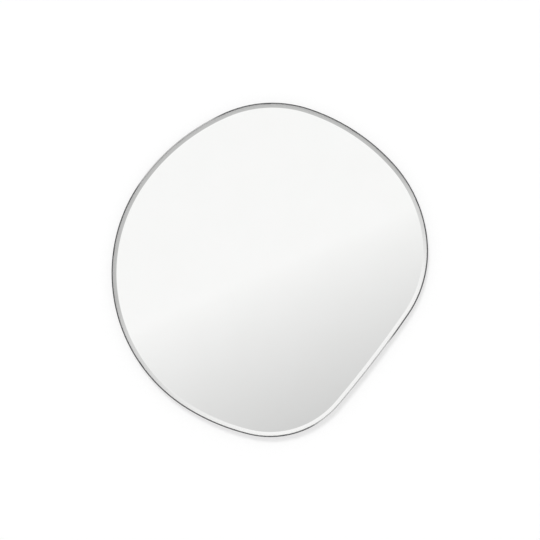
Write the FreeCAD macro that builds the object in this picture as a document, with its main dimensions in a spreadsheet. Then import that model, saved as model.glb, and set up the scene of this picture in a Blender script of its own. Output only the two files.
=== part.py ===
import FreeCAD, Part
import math
import os

import Sketcher
from FreeCAD import Rotation, Vector

# Wall mirror of free outline: bevelled glass on a board, held in a thin steel band.
# Frame: X to the right, Z up, the glass faces -Y and the wall is on the +Y side.
# The origin is the middle of the overall width, depth and height. Millimetres and degrees.

document = FreeCAD.newDocument("IrregularMirror")

# The rim is a closed chain of nine tangent arcs, anticlockwise as seen from the front.
RIM = (
    "lower_left",
    "bottom",
    "flat_side",
    "lower_right",
    "right",
    "upper_right",
    "top",
    "upper_left",
    "left",
)
CLOSING = ("bottom", "left")  # the two arcs whose radii close the chain
TABS = {  # which arc holds each retaining tab, and how far along it
    "retaining_tab_1": ("right", 0.5),
    "retaining_tab_2": ("upper_right", 0.5),
    "retaining_tab_3": ("top", 0.5),
    "retaining_tab_4": ("upper_left", 0.5),
    "retaining_tab_5": ("left", 0.3),
    "retaining_tab_6": ("left", 0.75),
    "retaining_tab_7": ("bottom", 0.35),
    "retaining_tab_8": ("flat_side", 0.5),
}
HANGERS = {"keyhole_plate_left": -1, "keyhole_plate_right": 1}  # side of the middle, as seen from the front
BUMPERS = {  # side of the middle, and above or below it
    "wall_bumper_1": (-1, 1),
    "wall_bumper_2": (1, 1),
    "wall_bumper_3": (-1, -1),
    "wall_bumper_4": (1, -1),
}
TAPES = 6
CONE = 90  # degrees: the countersinks and the screws' heads, which are then as deep as they step out
ROUND_LIMIT = 0.45  # largest share of a wall that the rounding of its edge takes
TOUCH = 0.0001  # an edge this near to a plane or a point lies on it

SIZES = (
    # Rim: outside of the band. A sweep is the angle that the outward normal turns along the arc.
    ("rim_start", 239.0, "outward normal where lower_left starts, anticlockwise from +X"),
    ("lower_left_radius", 580.0, ""),
    ("lower_left_sweep", 17.5, ""),
    ("bottom_sweep", 63.0, ""),
    ("flat_side_radius", 2965.0, "almost straight"),
    ("flat_side_sweep", 6.0, ""),
    ("lower_right_radius", 305.0, ""),
    ("lower_right_sweep", 38.0, ""),
    ("right_radius", 360.0, ""),
    ("right_sweep", 38.5, ""),
    ("upper_right_radius", 540.0, ""),
    ("upper_right_sweep", 29.5, ""),
    ("top_radius", 320.0, ""),
    ("top_sweep", 42.0, ""),
    ("upper_left_radius", 555.0, ""),
    ("upper_left_sweep", 30.0, ""),
    # Layers, from the wall forward.
    ("wall_gap", 1.0, "rear edge of the band to the wall"),
    ("board_recess", 2.0, "back of the board to the rear edge of the band"),
    ("board_thick", 12.0, ""),
    ("tape_thick", 1.0, ""),
    ("film_thick", 0.3, ""),
    ("silver_thick", 0.2, "silver with its protective paint"),
    ("glass_thick", 5.0, ""),
    ("front_lip", 1.5, "front edge of the band ahead of the glass"),
    # Band and glass.
    ("band_wall", 3.0, ""),
    ("band_round", 1.0, "radius along the two front edges of the band"),
    ("glass_fit", 0.5, "edge of the glass to the inside of the band"),
    ("bevel_width", 10.0, ""),
    ("bevel_edge", 2.5, "thickness left at the edge of the bevelled glass"),
    ("film_margin", 2.0, "edge of the film inside the edge of the glass"),
    # Mounting tape: upright strips, side by side.
    ("tape_width", 25.0, ""),
    ("tape_pitch", 110.0, ""),
    ("tape_margin", 20.0, "ends of the strips inside the nearest stretch of rim"),
    # Retaining tabs: steel angles welded inside the band.
    ("tab_thick", 2.0, ""),
    ("tab_width", 20.0, ""),
    ("tab_reach", 26.0, "leg on the back of the board"),
    ("tab_leg", 12.0, "leg against the band"),
    ("tab_bend", 1.8, "outside radius of the bend"),
    ("tab_corner", 3.0, "radius at the free corners of the leg on the board"),
    ("tab_hole_in", 16.0, "screw from the face against the band"),
    ("weld_gap", 0.1, "corners of the leg to the band"),
    ("board_fit", 0.8, "edge of the board to the legs of the tabs"),
    # Keyhole plates, sunk flush in the back of the board.
    ("hanger_half", 200.0, "middle of the mirror to each keyhole"),
    ("hanger_rise", 200.0, "middle of the mirror up to the middle of the plates"),
    ("plate_length", 62.0, ""),
    ("plate_width", 20.0, ""),
    ("plate_thick", 2.0, ""),
    ("plate_fit", 0.3, "plate to the sides of its recess"),
    ("plate_screw", 23.0, "middle of the plate to each of its screws"),
    ("key_radius", 5.0, "round entry of the keyhole"),
    ("key_slot", 5.0, "width of the slot above the entry"),
    ("key_travel", 10.0, "middle of the entry to the middle of the slot's end"),
    ("well_side", 2.0, "room round the keyhole for the head of the wall screw"),
    ("well_depth", 8.0, "from the back of the board"),
    # Countersunk wood screws.
    ("screw_length", 12.0, ""),
    ("screw_shank", 3.5, "diameter"),
    ("screw_head", 7.0, "diameter"),
    ("head_rim", 0.2, "straight edge above the countersink"),
    ("screw_fit", 0.15, "screw to its hole, on the radius"),
    ("recess_span", 3.6, "cross recess across its arms"),
    ("recess_arm", 0.9, "width of an arm of the cross recess"),
    ("recess_depth", 1.2, ""),
    # Bumpers on the back of the board, touching the wall.
    ("bumper_width", 16.0, "diameter"),
    ("bumper_round", 1.0, ""),
    ("bumper_half", 220.0, "middle of the mirror to each bumper, sideways"),
    ("bumper_rise", 260.0, "middle of the mirror to each bumper, up and down"),
)


def makeSheet():
    sheet = document.addObject("Spreadsheet::Sheet", "Sizes")
    for row, (alias, value, note) in enumerate(SIZES, 1):
        sheet.set("A%d" % row, alias)
        sheet.set("B%d" % row, "%g" % value)
        sheet.set("C%d" % row, note)
        sheet.setAlias("B%d" % row, alias)
    document.recompute()


# Derived places, all bound to the sheet.
def derive(layout, name, formula):
    layout.addProperty("App::PropertyFloat", name, "Derived")
    layout.setExpression(name, formula)


def makeLayout():
    # Each layer's place is its distance from the wall.
    layout = document.addObject("App::FeaturePython", "Layout")
    derive(layout, "board_back", "Sizes.wall_gap + Sizes.board_recess")
    for near, far, thick in (
        ("board_back", "board_front", "Sizes.board_thick"),
        ("board_front", "tape_front", "Sizes.tape_thick"),
        ("tape_front", "film_front", "Sizes.film_thick"),
        ("film_front", "silver_front", "Sizes.silver_thick"),
        ("silver_front", "glass_front", "Sizes.glass_thick"),
        ("glass_front", "band_front", "Sizes.front_lip"),
    ):
        derive(layout, far, "%s + %s" % (near, thick))
    derive(layout, "wall_y", "band_front / 2")
    derive(layout, "glass_inset", "Sizes.band_wall + Sizes.glass_fit")
    derive(layout, "film_inset", "glass_inset + Sizes.film_margin")
    derive(layout, "board_inset", "Sizes.band_wall + Sizes.weld_gap + Sizes.tab_thick + Sizes.board_fit")
    deriveRim(layout)
    document.recompute()
    return layout


def deriveRim(layout):
    # Normals: each arc starts where the one before it ends, and the last arc closes the turn.
    sweeps = ["Sizes.%s_sweep" % arc for arc in RIM[:-1]]
    derive(layout, RIM[-1] + "_sweep", "360 - (%s)" % " + ".join(sweeps))
    sweeps.append(RIM[-1] + "_sweep")
    derive(layout, RIM[0] + "_normal", "Sizes.rim_start")
    for before, arc, sweep in zip(RIM, RIM[1:], sweeps):
        derive(layout, arc + "_normal", "%s_normal + %s" % (before, sweep))
    # Step of an arc of radius 1, from its start to its end. Radius times step adds up to zero round the rim.
    for arc, after in zip(RIM, RIM[1:] + RIM[:1]):
        derive(layout, arc + "_step_x", "cos(%s_normal) - cos(%s_normal)" % (after, arc))
        derive(layout, arc + "_step_z", "sin(%s_normal) - sin(%s_normal)" % (after, arc))
    given = [arc for arc in RIM if arc not in CLOSING]
    for axis in "xz":
        terms = ["Sizes.%s_radius * %s_step_%s" % (arc, arc, axis) for arc in given]
        derive(layout, "given_" + axis, " + ".join(terms))
    one, two = CLOSING
    derive(layout, "cross", "%s_step_x * %s_step_z - %s_step_z * %s_step_x" % (one, two, one, two))
    derive(layout, one + "_radius", "(given_z * %s_step_x - given_x * %s_step_z) / cross" % (two, two))
    derive(layout, two + "_radius", "(given_x * %s_step_z - given_z * %s_step_x) / cross" % (one, one))
    for arc in given:
        derive(layout, arc + "_radius", "Sizes.%s_radius" % arc)
    # Centres: neighbours differ by the change of radius along the normal that they share.
    for axis, wave in (("x", "cos"), ("z", "sin")):
        derive(layout, "%s_from_%s" % (RIM[0], axis), "0")
        for before, arc in zip(RIM, RIM[1:]):
            change = "(%s_radius - %s_radius) * %s(%s_normal)" % (before, arc, wave, arc)
            derive(layout, "%s_from_%s" % (arc, axis), "%s_from_%s + %s" % (before, axis, change))
    # The farthest points right, left, up and down centre the rim on the origin.
    derive(layout, "middle_x", "(lower_right_from_x + lower_right_radius + left_from_x - left_radius) / 2")
    derive(layout, "middle_z", "(top_from_z + top_radius + bottom_from_z - bottom_radius) / 2")
    for arc in RIM:
        for axis in "xz":
            derive(layout, "%s_%s" % (arc, axis), "%s_from_%s - middle_%s" % (arc, axis, axis))
    # The flat side is the nearest stretch of rim: its distance from the origin along its middle normal.
    derive(layout, "flat_normal", "flat_side_normal + Sizes.flat_side_sweep / 2")
    toFlat = "flat_side_x * cos(flat_normal) + flat_side_z * sin(flat_normal) + flat_side_radius"
    derive(layout, "near_rim", toFlat)


# Bodies, sketches and features.
def makeBody(label, behind):
    # behind is the distance from the wall to the local XZ plane.
    body = document.addObject("PartDesign::Body", "Body")
    body.Label = label
    body.setExpression("Placement.Base.y", "Layout.wall_y - (%s)" % behind)
    return body


def makeSketch(body, role, name):
    sketch = body.newObject("Sketcher::SketchObject", name)
    plane = next(item for item in body.Origin.OriginFeatures if item.Role == role)
    sketch.AttachmentSupport = (plane, "")
    sketch.MapMode = "FlatFace"
    return sketch


def valueOf(item, formula):
    return float(item.evalExpression(formula))


def bind(sketch, *constraint, to):
    # Adds one constraint at the present value of its formula and ties it to that formula.
    index = sketch.addConstraint(Sketcher.Constraint(*constraint, valueOf(sketch, to)))
    sketch.setExpression("Constraints[%d]" % index, to)


def rimLoop(sketch, inset):
    # A parallel curve of the rim, inset from the outside of the band: same centres, smaller radii.
    arcs = []
    for arc, after in zip(RIM, RIM[1:] + RIM[:1]):
        centre = Vector(valueOf(sketch, "Layout.%s_x" % arc), valueOf(sketch, "Layout.%s_z" % arc), 0)
        radius = valueOf(sketch, "Layout.%s_radius - (%s)" % (arc, inset))
        start = math.radians(valueOf(sketch, "Layout.%s_normal" % arc))
        end = math.radians(valueOf(sketch, "Layout.%s_normal" % after))
        whole = Part.Circle(centre, Vector(0, 0, 1), radius)
        arcs.append(sketch.addGeometry(Part.ArcOfCircle(whole, start, end)))
    for arc, after in zip(arcs, arcs[1:] + arcs[:1]):
        sketch.addConstraint(Sketcher.Constraint("Coincident", arc, 2, after, 1))
    for arc, name in zip(arcs, RIM):
        radius = "Layout.%s_radius - (%s)" % (name, inset)
        normal = "Layout.%s_normal" % name
        bind(sketch, "Radius", arc, to=radius)
        bind(sketch, "DistanceX", -1, 1, arc, 1, to="Layout.%s_x + (%s) * cos(%s)" % (name, radius, normal))
        bind(sketch, "DistanceY", -1, 1, arc, 1, to="Layout.%s_z + (%s) * sin(%s)" % (name, radius, normal))


def polygon(sketch, points):
    # Closed polygon whose corners are pairs of formulas.
    at = [Vector(valueOf(sketch, across), valueOf(sketch, up), 0) for across, up in points]
    lines = [sketch.addGeometry(Part.LineSegment(a, b)) for a, b in zip(at, at[1:] + at[:1])]
    for line, after in zip(lines, lines[1:] + lines[:1]):
        sketch.addConstraint(Sketcher.Constraint("Coincident", line, 2, after, 1))
    for line, (across, up) in zip(lines, points):
        bind(sketch, "DistanceX", -1, 1, line, 1, to=across)
        bind(sketch, "DistanceY", -1, 1, line, 1, to=up)


def circle(sketch, across, up, radius):
    centre = Vector(valueOf(sketch, across), valueOf(sketch, up), 0)
    ring = sketch.addGeometry(Part.Circle(centre, Vector(0, 0, 1), valueOf(sketch, radius)))
    bind(sketch, "Radius", ring, to=radius)
    bind(sketch, "DistanceX", -1, 1, ring, 3, to=across)
    bind(sketch, "DistanceY", -1, 1, ring, 3, to=up)


def upright(sketch, across, low, high, radius):
    # An obround about an upright line, from the centre of its lower end to the centre of its upper end.
    x, z0, z1, side = (valueOf(sketch, formula) for formula in (across, low, high, radius))
    lower = Part.Circle(Vector(x, z0, 0), Vector(0, 0, 1), side)
    upper = Part.Circle(Vector(x, z1, 0), Vector(0, 0, 1), side)
    bottom = sketch.addGeometry(Part.ArcOfCircle(lower, math.pi, 2 * math.pi))
    right = sketch.addGeometry(Part.LineSegment(Vector(x + side, z0, 0), Vector(x + side, z1, 0)))
    top = sketch.addGeometry(Part.ArcOfCircle(upper, 0, math.pi))
    left = sketch.addGeometry(Part.LineSegment(Vector(x - side, z1, 0), Vector(x - side, z0, 0)))
    loop = (bottom, right, top, left)
    for item, after in zip(loop, loop[1:] + loop[:1]):
        sketch.addConstraint(Sketcher.Constraint("Coincident", item, 2, after, 1))
    for arc in (bottom, top):  # both ends of each arc are level with its centre
        sketch.addConstraint(Sketcher.Constraint("Horizontal", arc, 1, arc, 3))
        sketch.addConstraint(Sketcher.Constraint("Horizontal", arc, 2, arc, 3))
    sketch.addConstraint(Sketcher.Constraint("Vertical", right))
    bind(sketch, "DistanceX", -1, 1, bottom, 3, to=across)
    bind(sketch, "DistanceY", -1, 1, bottom, 3, to=low)
    bind(sketch, "DistanceX", -1, 1, top, 3, to=across)
    bind(sketch, "DistanceY", -1, 1, top, 3, to=high)
    bind(sketch, "Radius", top, to=radius)


def addPad(body, sketch, length, midplane=False):
    feature = body.newObject("PartDesign::Pad", "Pad")
    feature.Profile = sketch
    feature.Midplane = midplane
    feature.setExpression("Length", length)
    document.recompute()
    return feature


def addPocket(body, sketch, depth):
    # Cuts from the local XZ plane towards the front.
    feature = body.newObject("PartDesign::Pocket", "Pocket")
    before = feature.BaseFeature.Shape.Volume
    feature.Profile = sketch
    feature.Reversed = True
    feature.setExpression("Length", depth)
    document.recompute()
    if feature.Shape.Volume >= before:
        raise RuntimeError("a pocket of %s cuts nothing" % body.Label)
    return feature


def edgesAt(feature, depth):
    # Names of the edges that lie wholly in the plane y = depth.
    found = []
    for index, edge in enumerate(feature.Shape.Edges, 1):
        box = edge.BoundBox
        if max(abs(box.YMin - depth), abs(box.YMax - depth)) < TOUCH:
            found.append("Edge%d" % index)
    return found


def edgesThrough(feature, point):
    # Names of the edges that pass through a point.
    spot = Part.Vertex(point)
    edges = enumerate(feature.Shape.Edges, 1)
    return ["Edge%d" % index for index, edge in edges if edge.distToShape(spot)[0] < TOUCH]


def addScrewHoles(body, sketch):
    # Countersunk holes from the local XZ plane towards the front.
    document.recompute()
    feature = body.newObject("PartDesign::Hole", "Hole")
    feature.Profile = sketch
    feature.Reversed = True
    feature.DepthType = "ThroughAll"
    feature.Threaded = False
    feature.setExpression("Diameter", "Sizes.screw_shank + 2 * Sizes.screw_fit")
    feature.HoleCutType = "Countersink"
    feature.HoleCutCustomValues = True
    feature.HoleCutCountersinkAngle = CONE
    feature.setExpression("HoleCutDiameter", "Sizes.screw_head + 2 * Sizes.screw_fit + 2 * Sizes.head_rim")
    document.recompute()
    return feature


# Sub-parts.
def rimLayer(label, behind, inset, thick):
    body = makeBody(label, behind)
    sketch = makeSketch(body, "XZ_Plane", "RimSketch")
    rimLoop(sketch, inset)
    return body, addPad(body, sketch, thick)


def makeBand():
    # Flat bar bent to the rim and welded shut, both front edges rounded.
    body = makeBody("frame_band", "Sizes.wall_gap")
    sketch = makeSketch(body, "XZ_Plane", "BandSketch")
    rimLoop(sketch, "0")
    rimLoop(sketch, "Sizes.band_wall")
    bar = addPad(body, sketch, "Layout.band_front - Sizes.wall_gap")
    front = -float(bar.Length)
    edges = body.newObject("PartDesign::Fillet", "FrontRound")
    edges.Base = (bar, edgesAt(bar, front))
    edges.setExpression("Radius", "min(Sizes.band_round; %g * Sizes.band_wall)" % ROUND_LIMIT)
    document.recompute()
    return body


def makeGlass():
    # Float glass with a flat bevel ground all round its front edge.
    body, sheet = rimLayer("mirror_glass", "Layout.silver_front", "Layout.glass_inset", "Sizes.glass_thick")
    bevel = body.newObject("PartDesign::Chamfer", "Bevel")
    bevel.Base = (sheet, edgesAt(sheet, -float(sheet.Length)))
    bevel.ChamferType = "Two distances"
    bevel.FlipDirection = True  # the first size lies on the front face
    bevel.setExpression("Size", "Sizes.bevel_width")
    bevel.setExpression("Size2", "Sizes.glass_thick - Sizes.bevel_edge")
    document.recompute()
    return body


def makeSilvering():
    return rimLayer("mirror_silvering", "Layout.film_front", "Layout.glass_inset", "Sizes.silver_thick")[0]


def makeFilm():
    return rimLayer("safety_film", "Layout.tape_front", "Layout.film_inset", "Sizes.film_thick")[0]


def makeBoard():
    body = rimLayer("backing_board", "Layout.board_back", "Layout.board_inset", "Sizes.board_thick")[0]
    wide = "Sizes.plate_width / 2 + Sizes.plate_fit"
    straight = "(Sizes.plate_length - Sizes.plate_width) / 2"
    low, high = "Sizes.hanger_rise - " + straight, "Sizes.hanger_rise + " + straight
    room = "Sizes.key_radius + Sizes.well_side"
    recess = makeSketch(body, "XZ_Plane", "PlateRecessSketch")
    well = makeSketch(body, "XZ_Plane", "WellSketch")
    pilots = makeSketch(body, "XZ_Plane", "PilotSketch")
    pilot = "Sizes.screw_shank / 2 + Sizes.screw_fit"
    for side in HANGERS.values():
        across = "%d * Sizes.hanger_half" % side
        upright(recess, across, low, high, wide)
        upright(well, across, "Layout.key_entry", "Layout.key_end", room)
        for end in (-1, 1):
            circle(pilots, across, "Sizes.hanger_rise + %d * Sizes.plate_screw" % end, pilot)
    for label in TABS:
        circle(pilots, "Layout.%s_hole_x" % label, "Layout.%s_hole_z" % label, pilot)
    addPocket(body, recess, "Sizes.plate_thick")
    addPocket(body, well, "Sizes.well_depth")
    addPocket(body, pilots, "Sizes.screw_length")
    return body


def deriveFixings(layout):
    # Keyhole height, and where each tab and its screw lie.
    derive(layout, "key_entry", "Sizes.hanger_rise - Sizes.key_travel / 2")
    derive(layout, "key_end", "Sizes.hanger_rise + Sizes.key_travel / 2")
    for label, (arc, share) in TABS.items():
        sweep = ("%s_sweep" if arc == RIM[-1] else "Sizes.%s_sweep") % arc
        derive(layout, label + "_normal", "%s_normal + %g * %s" % (arc, share, sweep))
        # A flat leg inside a curved band touches it at its two corners.
        seat = "sqrt((%s_radius - Sizes.band_wall)^2 - (Sizes.tab_width / 2)^2) - Sizes.weld_gap" % arc
        derive(layout, label + "_seat", seat)
        for axis, wave in (("x", "cos"), ("z", "sin")):
            place = "%s_%s + (%s_seat - %%s) * %s(%s_normal)" % (arc, axis, label, wave, label)
            derive(layout, "%s_%s" % (label, axis), place % "0")
            derive(layout, "%s_hole_%s" % (label, axis), place % "Sizes.tab_hole_in")
    document.recompute()


def makeTab(label):
    # Steel angle: one leg against the band, the other flat on the back of the board.
    # Locally X points out to the band, Y to the wall, and y = 0 is the back of the board.
    body = makeBody(label, "Layout.board_back")
    profile = makeSketch(body, "XY_Plane", "AngleSketch")
    corners = (
        ("0", "-Sizes.tab_leg"),
        ("0", "Sizes.tab_thick"),
        ("-Sizes.tab_reach", "Sizes.tab_thick"),
        ("-Sizes.tab_reach", "0"),
        ("-Sizes.tab_thick", "0"),
        ("-Sizes.tab_thick", "-Sizes.tab_leg"),
    )
    polygon(profile, corners)
    angle = addPad(body, profile, "Sizes.tab_width", midplane=True)
    half = float(angle.Length) / 2
    thick, reach = valueOf(angle, "Sizes.tab_thick"), valueOf(angle, "Sizes.tab_reach")
    heel = body.newObject("PartDesign::Fillet", "Bend")
    heel.Base = (angle, edgesThrough(angle, Vector(0, thick, 0)))
    heel.setExpression("Radius", "Sizes.tab_bend")
    document.recompute()
    free = [name for end in (-1, 1) for name in edgesThrough(heel, Vector(-reach, thick / 2, end * half))]
    rounded = body.newObject("PartDesign::Fillet", "FreeCorners")
    rounded.Base = (heel, free)
    rounded.setExpression("Radius", "min(Sizes.tab_corner; %g * Sizes.tab_width)" % ROUND_LIMIT)
    drilled = makeSketch(body, "XZ_Plane", "ScrewSketch")
    drilled.setExpression("AttachmentOffset.Base.z", "-Sizes.tab_thick")
    circle(drilled, "-Sizes.tab_hole_in", "0", "Sizes.screw_shank / 2")
    addScrewHoles(body, drilled)
    body.setExpression("Placement.Base.x", "Layout.%s_x" % label)
    body.setExpression("Placement.Base.z", "Layout.%s_z" % label)
    body.Placement.Rotation = Rotation(Vector(0, 1, 0), -1)  # sets the axis, and the angle follows
    body.setExpression("Placement.Rotation.Angle", "-Layout.%s_normal" % label)
    return body


def makePlate(label, side):
    # Keyhole plate: the wall screw's head goes in at the round entry and rides up the slot.
    body = makeBody(label, "Layout.board_back")
    body.setExpression("Placement.Base.x", "%d * Sizes.hanger_half" % side)
    body.setExpression("Placement.Base.z", "Sizes.hanger_rise")
    straight = "(Sizes.plate_length - Sizes.plate_width) / 2"
    outline = makeSketch(body, "XZ_Plane", "PlateSketch")
    upright(outline, "0", "-" + straight, straight, "Sizes.plate_width / 2")
    addPad(body, outline, "Sizes.plate_thick")
    travel = "Sizes.key_travel / 2"
    entry = makeSketch(body, "XZ_Plane", "EntrySketch")
    circle(entry, "0", "-" + travel, "Sizes.key_radius")
    through = "2 * Sizes.plate_thick"
    addPocket(body, entry, through)
    slot = makeSketch(body, "XZ_Plane", "SlotSketch")
    upright(slot, "0", "-" + travel, travel, "Sizes.key_slot / 2")
    addPocket(body, slot, through)
    drilled = makeSketch(body, "XZ_Plane", "ScrewSketch")
    for end in (-1, 1):
        circle(drilled, "0", "%d * Sizes.plate_screw" % end, "Sizes.screw_shank / 2")
    addScrewHoles(body, drilled)
    return body


def makeScrew():
    # Countersunk wood screw with a cross recess. Its head is at y = 0 and its point towards the front.
    body = document.addObject("PartDesign::Body", "ScrewPattern")
    body.Label = "screw_pattern"
    profile = makeSketch(body, "XY_Plane", "ScrewProfile")
    neck = "-Sizes.head_rim - (Sizes.screw_head - Sizes.screw_shank) / 2"
    polygon(
        profile,
        (
            ("0", "0"),
            ("0", "-Sizes.screw_length"),
            ("Sizes.screw_shank / 2", "-Sizes.screw_length + Sizes.screw_shank"),
            ("Sizes.screw_shank / 2", neck),
            ("Sizes.screw_head / 2", "-Sizes.head_rim"),
            ("Sizes.screw_head / 2", "0"),
        ),
    )
    turned = body.newObject("PartDesign::Revolution", "Turned")
    turned.Profile = profile
    turned.ReferenceAxis = (profile, ["V_Axis"])
    turned.Angle = 360
    document.recompute()
    cross = makeSketch(body, "XZ_Plane", "CrossSketch")
    arm, tip = "Sizes.recess_arm / 2", "Sizes.recess_span / 2"
    quarter = ((tip, "-" + arm), (tip, arm), (arm, arm), (arm, tip))
    corners = list(quarter)
    for _ in range(3):  # each quarter is the one before it, turned by 90 degrees
        quarter = [(up[1:] if up.startswith("-") else "-" + up, across) for across, up in quarter]
        corners += quarter[1:]
    polygon(cross, corners[:-1])
    addPocket(body, cross, "Sizes.recess_depth")
    return body


def makeScrewGroup(label, screw, seats):
    # One copy of the screw at each seat: across, up and distance from the wall to the top of its head.
    copies = []
    for across, up, behind in seats:
        copy = document.addObject("App::Link", "Screw")
        copy.LinkedObject = screw
        place = "vector(%s; Layout.wall_y - (%s); %s)" % (across, behind, up)
        copy.setExpression("Placement", "placement(%s; rotation(vector(0; 1; 0); 0))" % place)
        copies.append(copy)
    document.recompute()
    group = document.addObject("Part::Compound", "ScrewGroup")
    group.Links = copies
    group.Label = label
    return group


def makeTape(index):
    # Upright strip between the film and the board. Its ends stay on a circle inside the nearest rim.
    strip = document.addObject("Part::Box", "Tape")
    strip.Label = "foam_tape_%d" % (index + 1)
    place = index - (TAPES - 1) / 2
    far = "(%g * Sizes.tape_pitch + Sizes.tape_width / 2)" % abs(place)
    half = "sqrt((Layout.near_rim - Layout.board_inset - Sizes.tape_margin)^2 - %s^2)" % far
    strip.setExpression("Length", "Sizes.tape_width")
    strip.setExpression("Width", "Sizes.tape_thick")
    strip.setExpression("Height", "2 * " + half)
    strip.setExpression("Placement.Base.x", "%g * Sizes.tape_pitch - Sizes.tape_width / 2" % place)
    strip.setExpression("Placement.Base.y", "Layout.wall_y - Layout.tape_front")
    strip.setExpression("Placement.Base.z", "-" + half)
    return strip


def makeBumper(label, side, level):
    # Rubber disc between the back of the board and the wall, rounded where it meets the wall.
    body = makeBody(label, "0")
    body.setExpression("Placement.Base.x", "%d * Sizes.bumper_half" % side)
    body.setExpression("Placement.Base.z", "%d * Sizes.bumper_rise" % level)
    sketch = makeSketch(body, "XZ_Plane", "BumperSketch")
    circle(sketch, "0", "0", "Sizes.bumper_width / 2")
    disc = addPad(body, sketch, "Layout.board_back")
    rounded = body.newObject("PartDesign::Fillet", "WallEdge")
    rounded.Base = (disc, edgesAt(disc, 0))
    rounded.setExpression("Radius", "min(Sizes.bumper_round; %g * Layout.board_back)" % ROUND_LIMIT)
    document.recompute()
    return body


def buildMirror():
    makeSheet()
    layout = makeLayout()
    deriveFixings(layout)
    parts = [makeGlass(), makeSilvering(), makeFilm(), makeBoard(), makeBand()]
    parts += [makeTape(index) for index in range(TAPES)]
    parts += [makeTab(label) for label in TABS]
    parts += [makePlate(label, side) for label, side in HANGERS.items()]
    parts += [makeBumper(label, *corner) for label, corner in BUMPERS.items()]
    screw = makeScrew()
    behindTab = "Layout.board_back - Sizes.tab_thick"
    tabSeats = [("Layout.%s_hole_x" % label, "Layout.%s_hole_z" % label, behindTab) for label in TABS]
    parts.append(makeScrewGroup("tab_screws", screw, tabSeats))
    plateSeats = []
    for side in HANGERS.values():
        for end in (-1, 1):
            up = "Sizes.hanger_rise + %d * Sizes.plate_screw" % end
            plateSeats.append(("%d * Sizes.hanger_half" % side, up, "Layout.board_back"))
    parts.append(makeScrewGroup("hanger_screws", screw, plateSeats))
    document.recompute()
    return parts


def checkAll(parts):
    for item in document.Objects:
        if "Invalid" in item.State or "Error" in item.State:
            raise RuntimeError("%s (%s) failed: %s" % (item.Name, item.Label, item.State))
    for item in parts:
        if item.Shape.isNull() or not item.Shape.isValid() or not item.Shape.Solids:
            raise RuntimeError("%s has no sound solid" % item.Label)


def writeParts(parts):
    os.makedirs("parts", exist_ok=True)
    for item in parts:
        shape = item.Shape
        shape.exportStep("parts/%s.step" % item.Label)
        box = shape.optimalBoundingBox()
        size = "%.1f x %.1f x %.1f mm" % (box.XLength, box.YLength, box.ZLength)
        volume = shape.Volume / 1000
        print("%-22s %2d solids, %s, %.1f cm3" % (item.Label, len(shape.Solids), size, volume))


mirrorParts = buildMirror()
checkAll(mirrorParts)
writeParts(mirrorParts)
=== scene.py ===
import math

import bmesh
import bpy
import numpy as np
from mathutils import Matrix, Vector


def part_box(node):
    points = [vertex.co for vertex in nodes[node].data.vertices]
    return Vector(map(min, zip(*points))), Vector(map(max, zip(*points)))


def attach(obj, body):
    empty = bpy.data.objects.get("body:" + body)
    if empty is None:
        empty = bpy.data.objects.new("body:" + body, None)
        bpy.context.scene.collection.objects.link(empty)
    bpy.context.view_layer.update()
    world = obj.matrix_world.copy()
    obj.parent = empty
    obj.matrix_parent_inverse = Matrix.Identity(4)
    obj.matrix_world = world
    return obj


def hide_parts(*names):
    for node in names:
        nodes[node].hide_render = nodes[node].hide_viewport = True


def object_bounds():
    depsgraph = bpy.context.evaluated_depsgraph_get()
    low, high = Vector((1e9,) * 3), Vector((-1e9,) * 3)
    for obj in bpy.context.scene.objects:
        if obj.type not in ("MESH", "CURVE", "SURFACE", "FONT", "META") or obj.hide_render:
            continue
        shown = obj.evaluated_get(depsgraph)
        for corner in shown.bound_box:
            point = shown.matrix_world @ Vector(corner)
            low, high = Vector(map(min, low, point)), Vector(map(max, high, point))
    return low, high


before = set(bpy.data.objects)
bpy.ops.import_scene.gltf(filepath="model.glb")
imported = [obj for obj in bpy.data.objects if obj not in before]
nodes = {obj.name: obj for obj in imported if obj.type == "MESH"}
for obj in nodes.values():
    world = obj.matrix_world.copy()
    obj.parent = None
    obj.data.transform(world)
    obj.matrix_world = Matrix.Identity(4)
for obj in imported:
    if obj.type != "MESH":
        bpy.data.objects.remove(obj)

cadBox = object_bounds()
print("frame loaded:", len(nodes), "nodes")


# Shader maths: + - * / on a Wire add Math nodes to its tree.
class Wire:
    def __init__(self, tree, socket):
        self.tree = tree
        self.socket = socket

    def maths(self, operation, *values):
        return addNode(self.tree, "ShaderNodeMath", {"operation": operation}, dict(enumerate(values)))

    def __add__(self, other):
        return self.maths("ADD", self, other)

    def __radd__(self, other):
        return self.maths("ADD", other, self)

    def __sub__(self, other):
        return self.maths("SUBTRACT", self, other)

    def __rsub__(self, other):
        return self.maths("SUBTRACT", other, self)

    def __mul__(self, other):
        return self.maths("MULTIPLY", self, other)

    def __rmul__(self, other):
        return self.maths("MULTIPLY", other, self)

    def __truediv__(self, other):
        return self.maths("DIVIDE", self, other)

    def __pow__(self, other):
        return self.maths("POWER", self, other)

    def above(self, other):
        return self.maths("GREATER_THAN", self, other)

    def below(self, other):
        return self.maths("LESS_THAN", self, other)

    def atLeast(self, other):
        return self.maths("MAXIMUM", self, other)

    def atMost(self, other):
        return self.maths("MINIMUM", self, other)

    def ramp(self, start, end):  # smooth step from 0 at start to 1 at end
        settings = {"interpolation_type": "SMOOTHSTEP"}
        return addNode(self.tree, "ShaderNodeMapRange", settings, {0: self, 1: start, 2: end})


# Any node: its settings are set first, then its inputs get values or Wires. Returns one output as a Wire.
def addNode(tree, kind, settings, values, out=0):
    node = tree.nodes.new(kind)
    for name, setting in settings.items():
        setattr(node, name, setting)
    for name, value in values.items():
        if isinstance(value, Wire):
            tree.links.new(value.socket, node.inputs[name])
        else:
            node.inputs[name].default_value = value
    return Wire(tree, node.outputs[out]) if node.outputs else None


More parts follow.
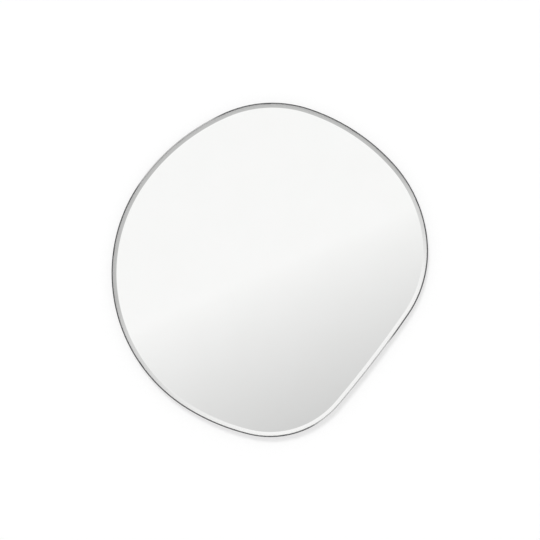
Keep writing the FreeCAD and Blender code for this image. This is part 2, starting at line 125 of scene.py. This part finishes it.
def mixColour(factor, first, second):
    settings = {"data_type": "RGBA"}
    return addNode(factor.tree, "ShaderNodeMix", settings, {0: factor, 6: first, 7: second}, out=2)


def between(value, low, high):  # low where the value is 0, high where it is 1
    return value * (high - low) + low


def within(value, low, high, end):  # 1 between low and high, fading to 0 over the length of an end
    return value.ramp(low, low + end) * (1 - value.ramp(high - end, high))


def objectPlace(tree, stretch=(1, 1, 1)):  # Object coordinates, times the stretch
    place = addNode(tree, "ShaderNodeTexCoord", {}, {}, out="Object")
    return addNode(tree, "ShaderNodeMapping", {}, {"Vector": place, "Scale": stretch})


def split(vector):
    return [addNode(vector.tree, "ShaderNodeSeparateXYZ", {}, {0: vector}, out=axis) for axis in range(3)]


def turnOf(place):  # degrees anticlockwise from the right, as seen from the front
    right, _, up = split(place)
    return up.maths("ARCTAN2", up, right) * math.degrees(1)


def noise(place, scale, detail, roughness=0.5):
    values = {"Vector": place, "Scale": scale, "Detail": detail, "Roughness": roughness}
    return addNode(place.tree, "ShaderNodeTexNoise", {}, values)


def cells(place, scale, out="Distance"):
    return addNode(place.tree, "ShaderNodeTexVoronoi", {}, {"Vector": place, "Scale": scale}, out=out)


def bump(height, look):
    values = {"Height": height, "Strength": look["bump"], "Distance": look["depth"]}
    return addNode(height.tree, "ShaderNodeBump", {}, values)


def newMaterial(name):
    material = bpy.data.materials.new(name)
    material.use_nodes = True
    material.node_tree.nodes.clear()
    return material, material.node_tree


def finishMaterial(tree, values):
    shader = addNode(tree, "ShaderNodeBsdfPrincipled", {}, values)
    addNode(tree, "ShaderNodeOutputMaterial", {}, {"Surface": shader})


# In the dictionaries of the finishes, a noise is its scale, detail and roughness, "rough" is the roughness
# between two kinds of patch, and "depth" is that of the bump in metres.

# Satin bar, darkened like black nickel, with hairlines drawn along its length and rubbed front edges.
# The bar is the same all round. The two bright stretches of its front are painted, to stand for the
# reflections that the straight-on view shows there. With () for the stretches they are left out.
band = {
    "dark": (0.10, 0.101, 0.106, 1),
    "light": (0.17, 0.17, 0.174, 1),
    "haze": (14.0, 4.0),
    "hairlines": (1.0, 3.0),
    "along": (6, 900, 6),
    "hazeShare": 0.7,  # the hairlines make the rest of the tone
    "rubbed": (0.30, 0.30, 0.298, 1),
    "rubFrom": (0.00003, 0.0001),  # metres behind the front of the band
    "rubTo": (0.00035, 0.0007),
    "rubLeast": 0.8,
    "bright": (0.93, 0.93, 0.925, 1),
    "brightTo": (0.0009, 0.0012),
    "stretches": ((106.0, 150.0, 0.75), (-77.0, -26.0, 1.0)),  # from and to in degrees, and how bright
    "stretchEnd": 7.0,  # degrees over which a stretch fades out
    "rough": (0.14, 0.34),  # clean and hazed
    "hairlineRough": 0.03,
    "bump": 0.25,
    "depth": 0.00002,
}


def bandFinish():
    material, tree = newMaterial("black_nickel")
    place = objectPlace(tree)
    haze = noise(place, *band["haze"])
    lines = noise(objectPlace(tree, band["along"]), *band["hairlines"])
    tone = haze * band["hazeShare"] + lines * (1 - band["hazeShare"])
    plain = mixColour(tone, band["dark"], band["light"])
    behind = split(place)[1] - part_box("frame_band")[0][1]
    rubbed = behind.ramp(*band["rubFrom"]) * (1 - behind.ramp(*band["rubTo"]))
    edged = mixColour(rubbed * between(haze, band["rubLeast"], 1), plain, band["rubbed"])
    turn, end = turnOf(place), band["stretchEnd"]
    bright = sum(within(turn, low, high, end) * share for low, high, share in band["stretches"])
    finishMaterial(tree, {
        "Base Color": mixColour(bright * (1 - behind.ramp(*band["brightTo"])), edged, band["bright"]),
        "Metallic": 1.0,
        "Roughness": between(haze, *band["rough"]) + lines * band["hairlineRough"],
        "Normal": bump(lines, band),
    })
    return material


# Clear float glass. The wedge of the bevel bends what the silver behind it shows.
glass = {
    "clear": (1.0, 1.0, 1.0, 1),
    "tint": (0.988, 0.994, 0.991, 1),
    "cloud": (5.0, 3.0),
    "index": 1.52,
    "haze": 0.004,
    "hazeFrom": (0.6, 0.9),
    "bevel": 0.010,
    "edge": 0.0025,  # thickness left outside the bevel
    "eased": 0.0004,  # corners taken off at the outer edge
    "corner": 0.3,  # middle point of an eased corner, as a share of it
    "shoulder": 0.2,  # the same, on the wall side of the blunt corner below the bevel
    "sharp": 8.0,  # degrees between two faces that meet in a crisp line
    "bond": 0.00002,  # the back sits this far in the silver, so that light meets the silver first
    "points": 1080,  # round the outline
}


def glassFinish():
    material, tree = newMaterial("float_glass")
    cloud = noise(objectPlace(tree), *glass["cloud"])
    finishMaterial(tree, {
        "Base Color": mixColour(cloud, glass["clear"], glass["tint"]),
        "Roughness": cloud.ramp(*glass["hazeFrom"]) * glass["haze"],
        "IOR": glass["index"],
        "Transmission Weight": 1.0,
    })
    return material


# Silver towards the glass, grey protective paint towards the wall.
silver = {
    "bright": (0.985, 0.985, 0.98, 1),
    "dull": (0.965, 0.965, 0.955, 1),
    "cloud": (9.0, 3.0),
    "paint": (0.23, 0.25, 0.26, 1),
    "paintRough": 0.55,
    "paintGrain": (600.0, 2.0),
    "bump": 0.3,
    "depth": 0.0001,
}


def silverFinish():
    material, tree = newMaterial("silver_and_paint")
    front, back = (corner[1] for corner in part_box("mirror_silvering"))
    place = objectPlace(tree)
    painted = split(place)[1].above((front + back) / 2)
    metal = mixColour(noise(place, *silver["cloud"]), silver["bright"], silver["dull"])
    finishMaterial(tree, {
        "Base Color": mixColour(painted, metal, silver["paint"]),
        "Metallic": 1 - painted,
        "Roughness": painted * silver["paintRough"],
        "Normal": bump(noise(place, *silver["paintGrain"]) * painted, silver),
    })
    return material


film = {
    "clear": (0.62, 0.68, 0.74, 1),
    "crease": (0.78, 0.82, 0.86, 1),
    "creases": (2.0, 4.0),
    "along": (3, 1, 40),
    "creaseFrom": (0.45, 0.7),
    "rough": (0.25, 0.45),
    "bump": 0.4,
    "depth": 0.0002,
}


def filmFinish():
    material, tree = newMaterial("safety_film")
    creases = noise(objectPlace(tree, film["along"]), *film["creases"])
    finishMaterial(tree, {
        "Base Color": mixColour(creases.ramp(*film["creaseFrom"]), film["clear"], film["crease"]),
        "Roughness": between(creases, *film["rough"]),
        "Normal": bump(creases, film),
    })
    return material


foam = {
    "cell": (0.78, 0.78, 0.75, 1),
    "wall": (0.9, 0.9, 0.87, 1),
    "cells": 1400.0,
    "cellFrom": (0.1, 0.6),
    "rough": (0.8, 0.9),
    "bump": 0.6,
    "depth": 0.0003,
}


def foamFinish():
    material, tree = newMaterial("tape_foam")
    bubbles = cells(objectPlace(tree), foam["cells"])
    finishMaterial(tree, {
        "Base Color": mixColour(bubbles.ramp(*foam["cellFrom"]), foam["wall"], foam["cell"]),
        "Roughness": between(bubbles, *foam["rough"]),
        "Normal": bump(bubbles, foam),
    })
    return material


# Fibreboard: pressed faces with fine fibres, and a darker, furry look where it was cut.
board = {
    "pale": (0.43, 0.285, 0.155, 1),
    "brown": (0.285, 0.175, 0.09, 1),
    "fibres": (900.0, 3.0, 0.7),
    "clouds": (7.0, 5.0, 0.6),
    "streaks": (3.0, 4.0, 0.6),  # marks of the sanding belt
    "across": (0.6, 1, 45),
    "shares": (0.4, 1.0, 0.8),  # of fibres, clouds and streaks in the tone
    "lift": 0.6,  # taken off their sum, so that the face stays pale
    "fleck": 170.0,
    "fleckTall": (1, 1, 0.35),
    "fleckFrom": (0.24, 0.06),
    "fleckPatch": (60.0, 2.0),
    "cut": (0.19, 0.11, 0.055, 1),
    "cutLeast": 0.6,
    "cutRough": 0.2,  # roughness added where it was cut
    "skin": 0.0004,  # how deep the pressed face goes
    "rough": (0.62, 0.74),
    "fur": (0.5, 2.5),  # height of the fibres on the face and where it was cut
    "bump": 0.35,
    "depth": 0.0003,
}


def boardFinish():
    material, tree = newMaterial("fibreboard")
    front, back = (corner[1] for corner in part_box("backing_board"))
    place = objectPlace(tree)
    depth = split(place)[1]
    inside = depth.below(back - board["skin"]) * depth.above(front + board["skin"])
    fibres = noise(place, *board["fibres"])
    clouds = noise(place, *board["clouds"])
    streaks = noise(objectPlace(tree, board["across"]), *board["streaks"])
    shared = zip((fibres, clouds, streaks), board["shares"])
    grain = sum(pattern * share for pattern, share in shared) - board["lift"]
    face = mixColour(grain.atLeast(0).atMost(1), board["pale"], board["brown"])
    flecks = cells(objectPlace(tree, board["fleckTall"]), board["fleck"]).ramp(*board["fleckFrom"])
    flecked = mixColour(flecks * noise(place, *board["fleckPatch"]), face, board["cut"])
    finishMaterial(tree, {
        "Base Color": mixColour(inside * between(fibres, board["cutLeast"], 1), flecked, board["cut"]),
        "Roughness": between(fibres, *board["rough"]) + inside * board["cutRough"],
        "Normal": bump(fibres * between(inside, *board["fur"]), board),
    })
    return material


# Steel angle, greyed by pickling, with straw and blue heat colours round its weld.
tab = {
    "steel": (0.34, 0.335, 0.33, 1),
    "worn": (0.47, 0.465, 0.455, 1),
    "mottle": (260.0, 4.0, 0.6),
    "straw": (0.50, 0.36, 0.16, 1),
    "strawFrom": (0.013, 0.009),  # metres from the weld where it begins and where it is full
    "blue": (0.12, 0.15, 0.30, 1),
    "blueFrom": (0.008, 0.005),
    "heat": 0.8,  # share of the heat colours where they are full
    "ragged": 0.003,  # metres by which their edges wander
    "rough": (0.3, 0.5),
    "bump": 0.3,
    "depth": 0.0002,
    "legFrom": 0.001,  # in front of the board's back by this much, a tab has only its leg along the band
}


def tabFinish(name, weldAt):
    material, tree = newMaterial(name)
    place = objectPlace(tree)
    mottle = noise(place, *tab["mottle"])
    steel = mixColour(mottle, tab["steel"], tab["worn"])
    settings = {"operation": "DISTANCE"}
    away = addNode(tree, "ShaderNodeVectorMath", settings, {0: place, 1: weldAt}, out="Value")
    away = away + (mottle - 0.5) * tab["ragged"]
    straw = mixColour(away.ramp(*tab["strawFrom"]) * tab["heat"], steel, tab["straw"])
    finishMaterial(tree, {
        "Base Color": mixColour(away.ramp(*tab["blueFrom"]) * tab["heat"], straw, tab["blue"]),
        "Metallic": 1.0,
        "Roughness": between(mottle, *tab["rough"]),
        "Normal": bump(mottle, tab),
    })
    return material


plate = {
    "zinc": (0.40, 0.42, 0.455, 1),
    "bloom": (0.56, 0.57, 0.585, 1),
    "patch": 150.0,
    "rolled": (1.0, 3.0),  # rolling lines, up the plate
    "along": (900, 60, 60),
    "rough": (0.22, 0.34),
    "rolledRough": 0.1,
    "bump": 0.2,
    "depth": 0.0001,
}


def plateFinish():
    material, tree = newMaterial("zinc_plate")
    patchColour = cells(objectPlace(tree), plate["patch"], out="Color")
    patches = addNode(tree, "ShaderNodeRGBToBW", {}, {0: patchColour})
    rolled = noise(objectPlace(tree, plate["along"]), *plate["rolled"])
    finishMaterial(tree, {
        "Base Color": mixColour((patches + rolled) * 0.5, plate["zinc"], plate["bloom"]),
        "Metallic": 1.0,
        "Roughness": between(patches, *plate["rough"]) + rolled * plate["rolledRough"],
        "Normal": bump(rolled, plate),
    })
    return material


screw = {
    "gold": (0.72, 0.52, 0.22, 1),
    "rose": (0.62, 0.44, 0.33, 1),
    "roseNoise": (120.0, 2.0),
    "roseFrom": (0.35, 0.65),
    "green": (0.52, 0.56, 0.30, 1),
    "greenNoise": (420.0, 2.0),
    "greenFrom": (0.5, 0.7),
    "greenShare": 0.6,
    "rough": (0.2, 0.35),
    "bump": 0.15,
    "depth": 0.0001,
}


def screwFinish():
    material, tree = newMaterial("yellow_zinc")
    place = objectPlace(tree)
    rosy = noise(place, *screw["roseNoise"])
    greenish = noise(place, *screw["greenNoise"])
    warm = mixColour(rosy.ramp(*screw["roseFrom"]), screw["gold"], screw["rose"])
    green = greenish.ramp(*screw["greenFrom"]) * screw["greenShare"]
    finishMaterial(tree, {
        "Base Color": mixColour(green, warm, screw["green"]),
        "Metallic": 1.0,
        "Roughness": between(rosy, *screw["rough"]),
        "Normal": bump(greenish, screw),
    })
    return material


rubber = {
    "black": (0.018, 0.018, 0.019, 1),
    "dusty": (0.06, 0.058, 0.055, 1),
    "dust": (180.0, 5.0, 0.7),
    "dustFrom": (0.5, 0.85),
    "grain": (1600.0, 2.0),
    "rough": (0.6, 0.75),
    "bump": 0.4,
    "depth": 0.0002,
}


def rubberFinish():
    material, tree = newMaterial("black_rubber")
    place = objectPlace(tree)
    dust = noise(place, *rubber["dust"])
    finishMaterial(tree, {
        "Base Color": mixColour(dust.ramp(*rubber["dustFrom"]), rubber["black"], rubber["dusty"]),
        "Roughness": between(dust, *rubber["rough"]),
        "Normal": bump(noise(place, *rubber["grain"]), rubber),
    })
    return material


weld = {
    "length": 0.016,
    "radius": 0.0013,
    "inside": 0.0006,  # from the band's inner wall to the line of the bead
    "sunk": 0.0009,  # from the back of the tab to the line of the bead
    "ripple": 0.0014,  # one drop of the bead
    "ripples": 0.16,  # how much the radius swells at each drop
    "blunt": 0.0001,  # keeps the ends of the bead from closing to nothing
    "points": (73, 16),  # along and round
    "bright": (0.55, 0.54, 0.52, 1),
    "burnt": (0.16, 0.15, 0.17, 1),
    "scale": (500.0, 4.0, 0.7),
    "burntFrom": (0.4, 0.65),
    "rough": (0.25, 0.55),
    "bump": 0.4,
    "depth": 0.0002,
}


def weldFinish():
    material, tree = newMaterial("weld_steel")
    scale = noise(objectPlace(tree), *weld["scale"])
    finishMaterial(tree, {
        "Base Color": mixColour(scale.ramp(*weld["burntFrom"]), weld["bright"], weld["burnt"]),
        "Metallic": 1.0,
        "Roughness": between(scale, *weld["rough"]),
        "Normal": bump(scale, weld),
    })
    return material


# A closed surface from a grid of points: rows follow the path, columns go round it, and both ends
# are capped.
def gridMesh(name, points):
    rows, columns = points.shape[:2]
    row = np.arange(rows - 1)[:, None] * columns
    column = np.arange(columns)[None, :]
    after = (column + 1) % columns
    quads = np.stack([row + column, row + after, row + columns + after, row + columns + column], axis=-1)
    faces = quads.reshape(-1, 4).tolist()
    faces.append(np.arange(columns)[::-1].tolist())
    faces.append(((rows - 1) * columns + np.arange(columns)).tolist())
    mesh = bpy.data.meshes.new(name)
    mesh.from_pydata(points.reshape(-1, 3), [], faces)
    mesh.shade_smooth()
    shell = bmesh.new()
    shell.from_mesh(mesh)
    if shell.calc_volume(signed=True) < 0:  # the columns ran the other way round
        mesh.flip_normals()
    shell.free()
    piece = bpy.data.objects.new(name, mesh)
    bpy.context.scene.collection.objects.link(piece)
    return piece


def vertices(name):
    mesh = nodes[name].data
    points = np.empty(len(mesh.vertices) * 3)
    mesh.vertices.foreach_get("co", points)
    return points.reshape(-1, 3)


# How near two vertices count as one: metres from the back face, and digits of the place.
same = {"level": 1e-6, "digits": 7}


# Outline of a flat layer as a smooth closed curve: the vertices of its back face, in order round the
# middle, joined by cubics whose slope at each vertex comes from its two neighbours. Returns points and
# outward normals.
def outline(name, count):
    points = vertices(name)
    onBack = points[:, 1] > points[:, 1].max() - same["level"]
    rim = np.unique(points[onBack][:, [0, 2]].round(same["digits"]), axis=0)
    rim = rim[np.argsort(np.arctan2(rim[:, 1], rim[:, 0]))]
    after = np.roll(rim, -1, axis=0)
    step = np.linalg.norm(after - rim, axis=1)[:, None]
    slope = (after - rim) / step
    before = np.roll(slope, 1, axis=0)
    share = step / (step + np.roll(step, 1, axis=0))
    tangent = slope * (1 - share) + before * share
    start = np.concatenate([[0], np.cumsum(step)])
    at = np.linspace(0, start[-1], count, endpoint=False)
    span = np.searchsorted(start, at, side="right") - 1
    t = ((at - start[span]) / step[span, 0])[:, None]
    begin = tangent[span] * step[span]
    end = np.roll(tangent, -1, axis=0)[span] * step[span]
    chord = after[span] - rim[span]
    bend = 3 * chord - 2 * begin - end
    twist = begin + end - 2 * chord
    curve = rim[span] + begin * t + bend * t**2 + twist * t**3
    along = begin + 2 * bend * t + 3 * twist * t**2
    normal = np.stack([along[:, 1], -along[:, 0]], axis=1)
    return curve, normal / np.linalg.norm(normal, axis=1)[:, None]


# Glass: a section of (distance in from the outline, y), carried round the outline. Each row of the
# grid is the outline moved in along its own normals.
def makeGlass():
    front, back = (corner[1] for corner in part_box("mirror_glass"))
    slope = (back - glass["edge"] - front) / glass["bevel"]
    shoulder = front + slope * glass["bevel"]
    back += glass["bond"]
    eased = glass["eased"]
    corner = eased * glass["corner"]
    section = np.array([
        (glass["bevel"], front),
        (eased, shoulder - slope * eased),
        (corner, shoulder + eased * glass["shoulder"]),
        (0, shoulder + eased),
        (0, back - eased),
        (corner, back - corner),
        (eased, back),
    ])
    curve, normal = outline("mirror_glass", glass["points"])
    flat = curve[None] - section[:, :1, None] * normal[None]
    depth = np.broadcast_to(section[:, 1:], flat.shape[:2])
    piece = gridMesh("bevelled_glass", np.stack([flat[..., 0], depth, flat[..., 1]], axis=-1))
    piece.data.set_sharp_from_angle(angle=math.radians(glass["sharp"]))
    piece.data.materials.append(finishes["mirror_glass"])
    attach(piece, "root")
    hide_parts("mirror_glass")


# Where a tab stands: the vertices of its leg give the direction out to the band (across their longest
# spread), the line along the band, and the point of the leg's outer face at the back of the tab.
def tabSeat(name):
    points = vertices(name)
    back = points[:, 1].max()
    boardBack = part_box("backing_board")[1][1]
    leg = points[points[:, 1] < boardBack - tab["legFrom"]][:, [0, 2]]
    middle = (leg.max(axis=0) + leg.min(axis=0)) / 2
    along = np.linalg.svd(leg - leg.mean(axis=0))[2][0]
    out = np.array([along[1], -along[0]])
    out *= np.sign(out @ middle)
    seat = (leg @ out).max()
    middle += out * (seat - middle @ out)
    return np.array([middle[0], back, middle[1]]), np.array([out[0], 0, out[1]])


# Weld bead in the groove between a tab's bend and the band: a tube whose radius swells at each drop of
# the bead, as 1 + share * |cos|, and falls to a point at both ends as a half ellipse does.
def makeWeld(index, seat, out):
    rows, columns = weld["points"]
    backwards = np.array([0, 1, 0])
    along = np.cross(out, backwards)
    steps = np.linspace(-1, 1, rows)[:, None]
    turn = np.linspace(0, 2 * np.pi, columns, endpoint=False)[None, :]
    half = weld["length"] / 2
    swell = 1 + weld["ripples"] * np.abs(np.cos(np.pi * steps * half / weld["ripple"]))
    radius = weld["radius"] * swell * np.sqrt(1 + weld["blunt"] - steps**2)
    middle = seat - out * weld["inside"] - backwards * weld["sunk"]
    line = middle + along * steps * half
    ring = np.cos(turn)[..., None] * out + np.sin(turn)[..., None] * backwards
    piece = gridMesh("weld_bead_%d" % index, line[:, None, :] + radius[..., None] * ring)
    piece.data.materials.append(weldMetal)
    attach(piece, "root")


finishes = {
    "mirror_glass": glassFinish(),
    "mirror_silvering": silverFinish(),
    "safety_film": filmFinish(),
    "foam_tape": foamFinish(),
    "backing_board": boardFinish(),
    "frame_band": bandFinish(),
    "keyhole_plate": plateFinish(),
    "tab_screws": screwFinish(),
    "wall_bumper": rubberFinish(),
}
finishes["hanger_screws"] = finishes["tab_screws"]
for name, piece in nodes.items():
    for kind, material in finishes.items():
        if name.startswith(kind):
            piece.material_slots[0].material = material
print("finishes on", len(nodes), "nodes")

makeGlass()
print("glass bevelled")

weldMetal = weldFinish()
tabNames = sorted(name for name in nodes if name.startswith("retaining_tab"))
for index, name in enumerate(tabNames, 1):
    seat, out = tabSeat(name)
    nodes[name].material_slots[0].material = tabFinish("tab_steel_%d" % index, seat)
    makeWeld(index, seat, out)
print("welds:", len(tabNames))


# The wall is at the back of the bumpers. A camera behind it looks through, and so do shadow rays and
# rays that start close to it, so that the back of the mirror has light. The floor melts away with
# distance.
wall = {"side": 12.0, "near": 0.3, "paint": (0.40, 0.40, 0.40, 1), "glow": 0.632}
floor = {"below": 1.5, "side": 8.0, "fade": (1.2, 3.6), "paint": (0.50, 0.50, 0.50, 1), "glow": 0.50}


def rayIs(tree, kind):
    return addNode(tree, "ShaderNodeLightPath", {}, {}, out="Is %s Ray" % kind)


def wallClearing(tree):
    behind = addNode(tree, "ShaderNodeNewGeometry", {}, {}, out="Backfacing")
    close = addNode(tree, "ShaderNodeLightPath", {}, {}, out="Ray Length").below(wall["near"])
    return behind.atLeast(rayIs(tree, "Shadow")).atLeast(close)


def floorClearing(tree):
    right, depth, _ = split(objectPlace(tree))
    return ((right * right + depth * depth) ** 0.5).ramp(*floor["fade"])


def stageFinish(name, look, clearing):
    material, tree = newMaterial(name)
    seen = (rayIs(tree, "Camera") + rayIs(tree, "Glossy") + rayIs(tree, "Transmission")).atMost(1)
    paint = addNode(tree, "ShaderNodeBsdfDiffuse", {}, {"Color": look["paint"]})
    glow = addNode(tree, "ShaderNodeEmission", {}, {"Strength": seen * look["glow"]})
    surface = addNode(tree, "ShaderNodeAddShader", {}, {0: paint, 1: glow})
    nothing = addNode(tree, "ShaderNodeBsdfTransparent", {}, {})
    mixed = addNode(tree, "ShaderNodeMixShader", {}, {0: clearing(tree), 1: surface, 2: nothing})
    addNode(tree, "ShaderNodeOutputMaterial", {}, {"Surface": mixed})
    return material


# One flat face whose corners are the start and the start plus one or both sides.
def makePlane(name, start, side, otherSide, material):
    corner, first, second = np.array(start), np.array(side), np.array(otherSide)
    mesh = bpy.data.meshes.new(name)
    mesh.from_pydata([corner, corner + first, corner + first + second, corner + second], [], [(0, 1, 2, 3)])
    mesh.materials.append(material)
    piece = bpy.data.objects.new(name, mesh)
    bpy.context.scene.collection.objects.link(piece)


def makeStage():
    low, across, height = -floor["below"], wall["side"], wall["side"] / 2 + floor["below"]
    start = (-across / 2, cadBox[1][1], low)
    paint = stageFinish("wall_paint", wall, wallClearing)
    makePlane("wall", start, (across, 0, 0), (0, 0, height), paint)
    side = floor["side"]
    start = (-side / 2, -side / 2, low)
    paint = stageFinish("floor_paint", floor, floorClearing)
    makePlane("floor", start, (side, 0, 0), (0, side, 0), paint)


# The room as a tone for each direction. Straight ahead of the glass it is white, and it shades off to
# the lower right. A grey ring lies round that, open towards the upper left.
room = {
    "white": 0.969,
    "grey": 0.735,
    "fade": 0.0357,  # tone lost per degree towards the lower right
    "fadeAlong": (0.406, -0.914),
    "ring": (5.5, 10.0),  # degrees off the axis
    "ringDrop": 0.136,
    "ringOpen": 116.0,  # degrees anticlockwise from the right
    "open": (0.03, 0.86),
    "wide": (16.0, 34.0),
    "pale": 0.74,  # tone of the room past the ring
    "overhead": 0.08,  # tone gained from level to overhead
    "behind": (0.0, 0.3),  # the room turns white behind the mirror
    "gain": 1.035,
    "gamma": 2.2,
    "smallest": 0.02,  # keeps the divisions below from running away
}


def makeRoom():
    world = bpy.data.worlds.new("room")
    bpy.context.scene.world = world
    world.use_nodes = True
    tree = world.node_tree
    tree.nodes.clear()
    right, depth, up = split(addNode(tree, "ShaderNodeTexCoord", {}, {}, out="Generated"))
    ahead = (depth * -1).atLeast(room["smallest"])
    offRight = right / ahead * math.degrees(1)
    offUp = up / ahead * math.degrees(1)
    along = room["fadeAlong"]
    fade = (offRight * along[0] + offUp * along[1]).atLeast(0) * room["fade"]
    off = (offRight * offRight + offUp * offUp) ** 0.5
    opening = math.radians(room["ringOpen"])
    towards = (offRight * math.cos(opening) + offUp * math.sin(opening)) / off.atLeast(room["smallest"])
    ring = off.ramp(*room["ring"]) * (1 - towards.ramp(*room["open"])) * room["ringDrop"]
    centre = (room["white"] - fade - ring).atLeast(room["grey"])
    beyond = off.ramp(*room["wide"]).atLeast(depth.above(0))
    outer = up * room["overhead"] + room["pale"]
    tone = centre * (1 - beyond) + outer * beyond
    backdrop = depth.ramp(*room["behind"])
    tone = tone * (1 - backdrop) + backdrop
    strength = (tone ** room["gamma"] * room["gain"]).atLeast(rayIs(tree, "Camera"))
    sky = addNode(tree, "ShaderNodeBackground", {}, {"Color": (1, 1, 1, 1), "Strength": strength})
    addNode(tree, "ShaderNodeOutputWorld", {}, {"Surface": sky})


# Key light on the wall, from the upper left. It draws the mirror's shadow and shows in no reflection.
key = {"strength": 1.5, "angle": 16.0, "polar": 35.0, "azimuth": 108.0}


def makeKey():
    lamp = bpy.data.lights.new("key_light", "SUN")
    lamp.energy = key["strength"]
    lamp.angle = math.radians(key["angle"])
    light = bpy.data.objects.new("key_light", lamp)
    bpy.context.scene.collection.objects.link(light)
    polar, azimuth = math.radians(key["polar"]), math.radians(key["azimuth"])
    across = math.sin(polar)
    towards = Vector((across * math.cos(azimuth), -math.cos(polar), across * math.sin(azimuth)))
    light.rotation_euler = towards.to_track_quat("Z", "Y").to_euler()
    light.visible_glossy = False
    light.visible_transmission = False


# Straight-on view: the photograph's frame is 540 pixels, and one pixel is this many metres at the
# front edge of the band.
view = {
    "pixels": 540,
    "pixel": 0.0027206,
    "middle": (269.8, 269.9),  # pixel where the middle of the mirror stands
    "edge": 0.001,  # the outline shows where the rounding of the band's front ends
    "lens": 135.0,
    "sensor": 36.0,
}


def makeCamera():
    lens = bpy.data.cameras.new("camera")
    lens.lens = view["lens"]
    lens.sensor_width = view["sensor"]
    camera = bpy.data.objects.new("camera", lens)
    bpy.context.scene.collection.objects.link(camera)
    half = view["pixels"] / 2
    away = half * view["pixel"] * view["lens"] / (view["sensor"] / 2)
    across = (half - view["middle"][0]) * view["pixel"]
    up = (view["middle"][1] - half) * view["pixel"]
    camera.location = (across, cadBox[0][1] + view["edge"] - away, up)
    camera.rotation_euler = (math.pi / 2, 0, 0)
    bpy.context.scene.camera = camera


makeStage()
makeRoom()
makeKey()
makeCamera()
bpy.context.scene.view_settings.view_transform = "Standard"
print("stage, room, light and camera made")
